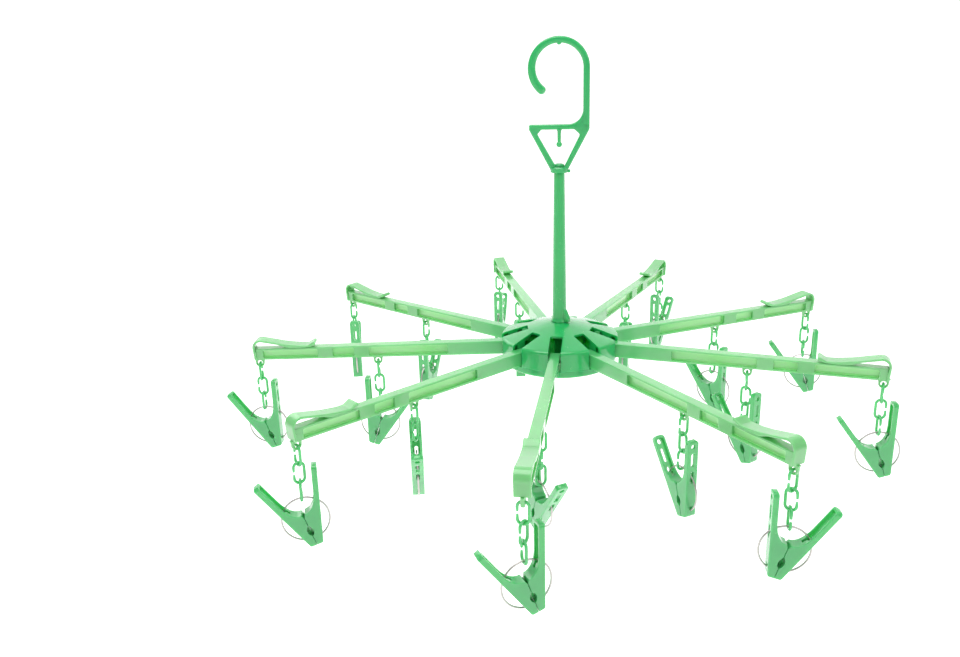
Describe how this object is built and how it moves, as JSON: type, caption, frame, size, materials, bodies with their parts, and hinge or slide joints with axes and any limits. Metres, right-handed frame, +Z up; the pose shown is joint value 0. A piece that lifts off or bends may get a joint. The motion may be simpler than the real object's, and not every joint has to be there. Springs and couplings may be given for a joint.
{
  "type": "rotary clothesline",
  "caption": "Hanging rotary clothesline: a swivel hook and pole carry a hub whose slender arms fold up, each with chained clothes pegs and a springy end finger.",
  "frame": {"origin": "where the inside of the hook rests on a rail or line, on the axis of the pole", "axes": "+Z up along the pole; -Y is the front, where the first arm points; +X is the side of the hook's shank"},
  "size_m": [0.7024, 0.701, 0.4299],
  "materials": {
    "body_green": "glossy moulded plastic, slightly translucent, strong green",
    "arm_green": "glossy moulded plastic, slightly translucent, light green",
    "peg_green": "glossy moulded plastic, slightly translucent, mid green",
    "screw_steel": "bright zinc-plated steel"
  },
  "bodies": {
    "hook": {"hook_frame": "body_green"},
    "rotor": {"pole": "body_green", "hub_body": "body_green", "hub_cover": "body_green", "cover_screw": "screw_steel", "swivel_cap": "body_green"},
    "arm_1": {"arm_1": "arm_green"},
    "tip_peg_1": {"tip_peg_1": "peg_green"},
    "tip_peg_1_lever": {"tip_peg_1_lever": "peg_green"},
    "mid_peg_1": {"mid_peg_1": "peg_green"},
    "mid_peg_1_lever": {"mid_peg_1_lever": "peg_green"},
    "arm_2": {"arm_2": "arm_green"},
    "tip_peg_2": {"tip_peg_2": "peg_green"},
    "tip_peg_2_lever": {"tip_peg_2_lever": "peg_green"},
    "mid_peg_2": {"mid_peg_2": "peg_green"},
    "mid_peg_2_lever": {"mid_peg_2_lever": "peg_green"},
    "arm_3": {"arm_3": "arm_green"},
    "tip_peg_3": {"tip_peg_3": "peg_green"},
    "tip_peg_3_lever": {"tip_peg_3_lever": "peg_green"},
    "mid_peg_3": {"mid_peg_3": "peg_green"},
    "mid_peg_3_lever": {"mid_peg_3_lever": "peg_green"},
    "arm_4": {"arm_4": "arm_green"},
    "tip_peg_4": {"tip_peg_4": "peg_green"},
    "tip_peg_4_lever": {"tip_peg_4_lever": "peg_green"},
    "mid_peg_4": {"mid_peg_4": "peg_green"},
    "mid_peg_4_lever": {"mid_peg_4_lever": "peg_green"},
    "arm_5": {"arm_5": "arm_green"},
    "tip_peg_5": {"tip_peg_5": "peg_green"},
    "tip_peg_5_lever": {"tip_peg_5_lever": "peg_green"},
    "mid_peg_5": {"mid_peg_5": "peg_green"},
    "mid_peg_5_lever": {"mid_peg_5_lever": "peg_green"},
    "arm_6": {"arm_6": "arm_green"},
    "tip_peg_6": {"tip_peg_6": "peg_green"},
    "tip_peg_6_lever": {"tip_peg_6_lever": "peg_green"},
    "mid_peg_6": {"mid_peg_6": "peg_green"},
    "mid_peg_6_lever": {"mid_peg_6_lever": "peg_green"},
    "arm_7": {"arm_7": "arm_green"},
    "tip_peg_7": {"tip_peg_7": "peg_green"},
    "tip_peg_7_lever": {"tip_peg_7_lever": "peg_green"},
    "mid_peg_7": {"mid_peg_7": "peg_green"},
    "mid_peg_7_lever": {"mid_peg_7_lever": "peg_green"},
    "arm_8": {"arm_8": "arm_green"},
    "tip_peg_8": {"tip_peg_8": "peg_green"},
    "tip_peg_8_lever": {"tip_peg_8_lever": "peg_green"},
    "mid_peg_8": {"mid_peg_8": "peg_green"},
    "mid_peg_8_lever": {"mid_peg_8_lever": "peg_green"},
    "arm_9": {"arm_9": "arm_green"},
    "tip_peg_9": {"tip_peg_9": "peg_green"},
    "tip_peg_9_lever": {"tip_peg_9_lever": "peg_green"},
    "mid_peg_9": {"mid_peg_9": "peg_green"},
    "mid_peg_9_lever": {"mid_peg_9_lever": "peg_green"}
  },
  "joints": [
    {"name": "swivel", "type": "hinge", "parent": "hook", "child": "rotor", "pos_m": [0, 0, -0.12675], "axis": [0, 0, 1], "continuous": true},
    {"name": "arm_1_fold", "type": "hinge", "parent": "rotor", "child": "arm_1", "pos_m": [-0.00427, -0.04982, -0.31225], "axis": [-0.9963, 0.0854, 0], "range_deg": [0, 90]},
    {"name": "tip_peg_1_swing", "type": "hinge", "parent": "arm_1", "child": "tip_peg_1", "pos_m": [-0.02776, -0.32381, -0.32306], "axis": [0.9963, -0.0854, 0], "range_deg": [-40, 60]},
    {"name": "tip_peg_1_squeeze", "type": "hinge", "parent": "tip_peg_1", "child": "tip_peg_1_lever", "pos_m": [-0.0272, -0.32355, -0.39276], "axis": [-0.4226, 0.9063, 0], "range_deg": [0, 18], "stiffness_Nm_per_rad": 0.35, "springref_deg": -28.65},
    {"name": "mid_peg_1_swing", "type": "hinge", "parent": "arm_1", "child": "mid_peg_1", "pos_m": [-0.01683, -0.19628, -0.32366], "axis": [0.9963, -0.0854, 0], "range_deg": [-40, 60]},
    {"name": "mid_peg_1_squeeze", "type": "hinge", "parent": "mid_peg_1", "child": "mid_peg_1_lever", "pos_m": [-0.01713, -0.19575, -0.39336], "axis": [-0.866, -0.5, 0], "range_deg": [0, 18], "stiffness_Nm_per_rad": 0.35, "springref_deg": -28.65},
    {"name": "arm_2_fold", "type": "hinge", "parent": "rotor", "child": "arm_2", "pos_m": [0.02875, -0.04091, -0.31225], "axis": [-0.8181, -0.575, 0], "range_deg": [0, 90]},
    {"name": "tip_peg_2_swing", "type": "hinge", "parent": "arm_2", "child": "tip_peg_2", "pos_m": [0.18688, -0.2659, -0.32306], "axis": [0.8181, 0.575, 0], "range_deg": [-40, 60]},
    {"name": "tip_peg_2_squeeze", "type": "hinge", "parent": "tip_peg_2", "child": "tip_peg_2_lever", "pos_m": [0.18626, -0.2659, -0.39276], "axis": [0, -1, 0], "range_deg": [0, 18], "stiffness_Nm_per_rad": 0.35, "springref_deg": -28.65},
    {"name": "mid_peg_2_swing", "type": "hinge", "parent": "arm_2", "child": "mid_peg_2", "pos_m": [0.11328, -0.16118, -0.32366], "axis": [0.8181, 0.575, 0], "range_deg": [-40, 40]},
    {"name": "mid_peg_2_squeeze", "type": "hinge", "parent": "mid_peg_2", "child": "mid_peg_2_lever", "pos_m": [0.11358, -0.16171, -0.39336], "axis": [0.866, 0.5, 0], "range_deg": [0, 18], "stiffness_Nm_per_rad": 0.35, "springref_deg": -28.65},
    {"name": "arm_3_fold", "type": "hinge", "parent": "rotor", "child": "arm_3", "pos_m": [0.04832, -0.01286, -0.31225], "axis": [-0.2571, -0.9664, 0], "range_deg": [0, 90]},
    {"name": "tip_peg_3_swing", "type": "hinge", "parent": "arm_3", "child": "tip_peg_3", "pos_m": [0.31407, -0.08357, -0.32306], "axis": [0.2571, 0.9664, 0], "range_deg": [-40, 40]},
    {"name": "tip_peg_3_squeeze", "type": "hinge", "parent": "tip_peg_3", "child": "tip_peg_3_lever", "pos_m": [0.31469, -0.08357, -0.39276], "axis": [0, 1, 0], "range_deg": [0, 18], "stiffness_Nm_per_rad": 0.35, "springref_deg": -28.65},
    {"name": "mid_peg_3_swing", "type": "hinge", "parent": "arm_3", "child": "mid_peg_3", "pos_m": [0.19038, -0.05065, -0.32366], "axis": [0.2571, 0.9664, 0], "range_deg": [-40, 40]},
    {"name": "mid_peg_3_squeeze", "type": "hinge", "parent": "mid_peg_3", "child": "mid_peg_3_lever", "pos_m": [0.19077, -0.05112, -0.39336], "axis": [0.766, 0.6428, 0], "range_deg": [0, 18], "stiffness_Nm_per_rad": 0.35, "springref_deg": -28.65},
    {"name": "arm_4_fold", "type": "hinge", "parent": "rotor", "child": "arm_4", "pos_m": [0.04528, 0.02121, -0.31225], "axis": [0.4242, -0.9056, 0], "range_deg": [0, 90]},
    {"name": "tip_peg_4_swing", "type": "hinge", "parent": "arm_4", "child": "tip_peg_4", "pos_m": [0.29431, 0.13786, -0.32306], "axis": [-0.4242, 0.9056, 0], "range_deg": [-40, 40]},
    {"name": "tip_peg_4_squeeze", "type": "hinge", "parent": "tip_peg_4", "child": "tip_peg_4_lever", "pos_m": [0.29492, 0.13781, -0.39276], "axis": [0.0872, 0.9962, 0], "range_deg": [0, 18], "stiffness_Nm_per_rad": 0.35, "springref_deg": -28.65},
    {"name": "mid_peg_4_swing", "type": "hinge", "parent": "arm_4", "child": "mid_peg_4", "pos_m": [0.1784, 0.08357, -0.32366], "axis": [-0.4242, 0.9056, 0], "range_deg": [-40, 40]},
    {"name": "mid_peg_4_squeeze", "type": "hinge", "parent": "mid_peg_4", "child": "mid_peg_4_lever", "pos_m": [0.17887, 0.08317, -0.39336], "axis": [0.6428, 0.766, 0], "range_deg": [0, 18], "stiffness_Nm_per_rad": 0.35, "springref_deg": -28.65},
    {"name": "arm_5_fold", "type": "hinge", "parent": "rotor", "child": "arm_5", "pos_m": [0.02105, 0.04535, -0.31225], "axis": [0.907, -0.421, 0], "range_deg": [0, 90]},
    {"name": "tip_peg_5_swing", "type": "hinge", "parent": "arm_5", "child": "tip_peg_5", "pos_m": [0.13684, 0.29479, -0.32306], "axis": [-0.907, 0.421, 0], "range_deg": [-40, 40]},
    {"name": "tip_peg_5_squeeze", "type": "hinge", "parent": "tip_peg_5", "child": "tip_peg_5_lever", "pos_m": [0.13653, 0.29426, -0.39276], "axis": [0.866, -0.5, 0], "range_deg": [0, 18], "stiffness_Nm_per_rad": 0.35, "springref_deg": -28.65},
    {"name": "mid_peg_5_swing", "type": "hinge", "parent": "arm_5", "child": "mid_peg_5", "pos_m": [0.08294, 0.17869, -0.32366], "axis": [-0.907, 0.421, 0], "range_deg": [-40, 60]},
    {"name": "mid_peg_5_squeeze", "type": "hinge", "parent": "mid_peg_5", "child": "mid_peg_5_lever", "pos_m": [0.08284, 0.17808, -0.39336], "axis": [0.9848, -0.1736, 0], "range_deg": [0, 18], "stiffness_Nm_per_rad": 0.35, "springref_deg": -28.65},
    {"name": "arm_6_fold", "type": "hinge", "parent": "rotor", "child": "arm_6", "pos_m": [-0.01303, 0.04827, -0.31225], "axis": [0.9655, 0.2605, 0], "range_deg": [0, 90]},
    {"name": "tip_peg_6_swing", "type": "hinge", "parent": "arm_6", "child": "tip_peg_6", "pos_m": [-0.08466, 0.31378, -0.32306], "axis": [-0.9655, -0.2605, 0], "range_deg": [-40, 40]},
    {"name": "tip_peg_6_squeeze", "type": "hinge", "parent": "tip_peg_6", "child": "tip_peg_6_lever", "pos_m": [-0.08472, 0.31317, -0.39276], "axis": [0.9962, -0.0872, 0], "range_deg": [0, 18], "stiffness_Nm_per_rad": 0.35, "springref_deg": -28.65},
    {"name": "mid_peg_6_swing", "type": "hinge", "parent": "arm_6", "child": "mid_peg_6", "pos_m": [-0.05132, 0.1902, -0.32366], "axis": [-0.9655, -0.2605, 0], "range_deg": [-40, 60]},
    {"name": "mid_peg_6_squeeze", "type": "hinge", "parent": "mid_peg_6", "child": "mid_peg_6_lever", "pos_m": [-0.05127, 0.18959, -0.39336], "axis": [0.9962, 0.0872, 0], "range_deg": [0, 18], "stiffness_Nm_per_rad": 0.35, "springref_deg": -28.65},
    {"name": "arm_7_fold", "type": "hinge", "parent": "rotor", "child": "arm_7", "pos_m": [-0.04101, 0.02861, -0.31225], "axis": [0.5721, 0.8202, 0], "range_deg": [0, 90]},
    {"name": "tip_peg_7_swing", "type": "hinge", "parent": "arm_7", "child": "tip_peg_7", "pos_m": [-0.26655, 0.18595, -0.32306], "axis": [-0.5721, -0.8202, 0], "range_deg": [-40, 60]},
    {"name": "tip_peg_7_squeeze", "type": "hinge", "parent": "tip_peg_7", "child": "tip_peg_7_lever", "pos_m": [-0.26644, 0.18534, -0.39276], "axis": [0.9848, 0.1736, 0], "range_deg": [0, 18], "stiffness_Nm_per_rad": 0.35, "springref_deg": -28.65},
    {"name": "mid_peg_7_swing", "type": "hinge", "parent": "arm_7", "child": "mid_peg_7", "pos_m": [-0.16157, 0.11271, -0.32366], "axis": [-0.5721, -0.8202, 0], "range_deg": [-40, 60]},
    {"name": "mid_peg_7_squeeze", "type": "hinge", "parent": "mid_peg_7", "child": "mid_peg_7_lever", "pos_m": [-0.16173, 0.11212, -0.39336], "axis": [0.9659, -0.2588, 0], "range_deg": [0, 18], "stiffness_Nm_per_rad": 0.35, "springref_deg": -28.65},
    {"name": "arm_8_fold", "type": "hinge", "parent": "rotor", "child": "arm_8", "pos_m": [-0.0498, -0.00445, -0.31225], "axis": [-0.0889, 0.996, 0], "range_deg": [0, 90]},
    {"name": "tip_peg_8_swing", "type": "hinge", "parent": "arm_8", "child": "tip_peg_8", "pos_m": [-0.32371, -0.02889, -0.32306], "axis": [0.0889, -0.996, 0], "range_deg": [-40, 60]},
    {"name": "tip_peg_8_squeeze", "type": "hinge", "parent": "tip_peg_8", "child": "tip_peg_8_lever", "pos_m": [-0.3231, -0.02889, -0.39276], "axis": [0, 1, 0], "range_deg": [0, 18], "stiffness_Nm_per_rad": 0.35, "springref_deg": -28.65},
    {"name": "mid_peg_8_swing", "type": "hinge", "parent": "arm_8", "child": "mid_peg_8", "pos_m": [-0.19622, -0.01751, -0.32366], "axis": [0.0889, -0.996, 0], "range_deg": [-40, 40]},
    {"name": "mid_peg_8_squeeze", "type": "hinge", "parent": "mid_peg_8", "child": "mid_peg_8_lever", "pos_m": [-0.19683, -0.01751, -0.39336], "axis": [0, -1, 0], "range_deg": [0, 18], "stiffness_Nm_per_rad": 0.35, "springref_deg": -28.65},
    {"name": "arm_9_fold", "type": "hinge", "parent": "rotor", "child": "arm_9", "pos_m": [-0.03529, -0.03542, -0.31225], "axis": [-0.7083, 0.7059, 0], "range_deg": [0, 90]},
    {"name": "tip_peg_9_swing", "type": "hinge", "parent": "arm_9", "child": "tip_peg_9", "pos_m": [-0.22941, -0.23021, -0.32306], "axis": [0.7083, -0.7059, 0], "range_deg": [-40, 60]},
    {"name": "tip_peg_9_squeeze", "type": "hinge", "parent": "tip_peg_9", "child": "tip_peg_9_lever", "pos_m": [-0.22881, -0.23005, -0.39276], "axis": [-0.2588, 0.9659, 0], "range_deg": [0, 18], "stiffness_Nm_per_rad": 0.35, "springref_deg": -28.65},
    {"name": "mid_peg_9_swing", "type": "hinge", "parent": "arm_9", "child": "mid_peg_9", "pos_m": [-0.13906, -0.13954, -0.32366], "axis": [0.7083, -0.7059, 0], "range_deg": [-40, 60]},
    {"name": "mid_peg_9_squeeze", "type": "hinge", "parent": "mid_peg_9", "child": "mid_peg_9_lever", "pos_m": [-0.13916, -0.13894, -0.39336], "axis": [-0.9848, -0.1736, 0], "range_deg": [0, 18], "stiffness_Nm_per_rad": 0.35, "springref_deg": -28.65}
  ]
}
